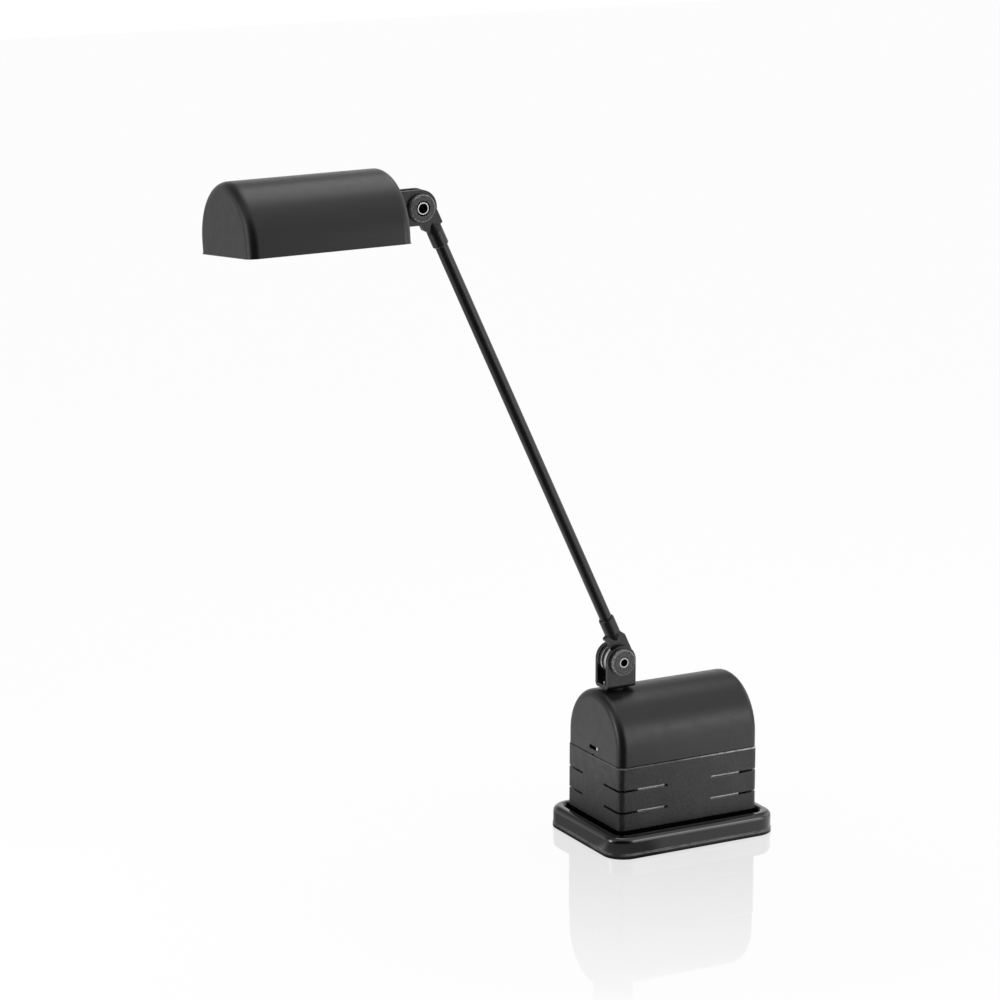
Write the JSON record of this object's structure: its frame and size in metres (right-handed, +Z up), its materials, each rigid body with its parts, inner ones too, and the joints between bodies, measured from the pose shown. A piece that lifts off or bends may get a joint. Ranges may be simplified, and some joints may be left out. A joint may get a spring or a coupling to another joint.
{
  "type": "desk lamp",
  "caption": "Desk lamp with a vented transformer base, one tilting arm on friction joints and a half-round shade",
  "frame": {"origin": "Centre of the base pad's underside, on the table, under the middle of the tray", "axes": "+Z up, X along the base's long side with the shade towards -X, -Y the front"},
  "size_m": [0.4657, 0.1148, 0.5655],
  "materials": {
    "matt_black_paint": "matt, fine texture",
    "black_steel": "satin black",
    "zinc_steel": "zinc plated",
    "bright_steel": "bright",
    "core_steel": "varnished laminations",
    "reflector_aluminium": "satin anodised",
    "winding_copper": "enamelled wire",
    "textured_black": "fine spark texture",
    "gloss_black": "polished",
    "former_plastic": "moulded",
    "rubber_black": "matt",
    "clear_glass": "clear"
  },
  "bodies": {
    "base": {"base_pad": "rubber_black", "base_tray": "gloss_black", "base_screws": "zinc_steel", "ballast_plate": "zinc_steel", "housing_shell": "textured_black", "dome_cover": "matt_black_paint", "cover_latches": "bright_steel", "transformer_core": "core_steel", "transformer_bobbin": "former_plastic", "transformer_winding": "winding_copper", "transformer_brackets": "zinc_steel", "transformer_bolts": "zinc_steel", "terminal_block": "former_plastic", "switch_frame": "textured_black", "inlet_gland": "textured_black", "swivel_spacer": "textured_black", "swivel_seat": "textured_black"},
    "rocker": {"switch_rocker": "gloss_black"},
    "lower_joint": {"lower_clevis": "matt_black_paint", "swivel_bolt": "bright_steel", "swivel_washer": "bright_steel", "swivel_nut": "zinc_steel", "swivel_stop_pin": "bright_steel", "lower_rim_washers": "black_steel", "lower_disc_front": "textured_black", "lower_disc_back": "textured_black", "lower_pivot_bolt": "bright_steel", "lower_pivot_nut": "bright_steel", "lower_shim": "bright_steel", "lower_friction_washer": "rubber_black", "lower_steel_washer": "bright_steel", "lower_back_washer": "textured_black", "lower_disc_springs": "black_steel"},
    "arm": {"lower_fitting": "matt_black_paint", "arm_tube": "matt_black_paint", "upper_fitting": "matt_black_paint"},
    "upper_joint": {"upper_clevis": "matt_black_paint", "upper_rim_washers": "black_steel", "upper_disc_front": "textured_black", "upper_disc_back": "textured_black", "upper_pivot_bolt": "bright_steel", "upper_pivot_nut": "bright_steel", "upper_shims": "bright_steel", "shade_bolt": "bright_steel", "shade_washer": "bright_steel"},
    "shade": {"shade_spacer": "textured_black", "shade_shell": "matt_black_paint", "shade_bezel": "gloss_black", "reflector": "reflector_aluminium", "lamp_holder": "former_plastic", "halogen_lamp": "clear_glass"}
  },
  "joints": [
    {"name": "base_swivel", "type": "hinge", "parent": "base", "child": "lower_joint", "pos_m": [-0.04515, 0, 0.1283], "axis": [0, 0, 1], "range_deg": [-170, 170]},
    {"name": "arm_tilt", "type": "hinge", "parent": "lower_joint", "child": "arm", "pos_m": [-0.04515, 0, 0.151], "axis": [0, 1, 0], "range_deg": [-45, 100]},
    {"name": "head_tilt", "type": "hinge", "parent": "arm", "child": "upper_joint", "pos_m": [-0.2253, 0, 0.53383], "axis": [0, 1, 0], "range_deg": [-45, 100]},
    {"name": "shade_roll", "type": "hinge", "parent": "upper_joint", "child": "shade", "pos_m": [-0.2253, -0.00365, 0.53383], "axis": [0.9999, 0, 0.0122], "range_deg": [-85, 95]},
    {"name": "switch_tip", "type": "hinge", "parent": "base", "child": "rocker", "pos_m": [0, 0.0411, 0.044], "axis": [0, 0, -1], "range_deg": [0, 22]}
  ]
}
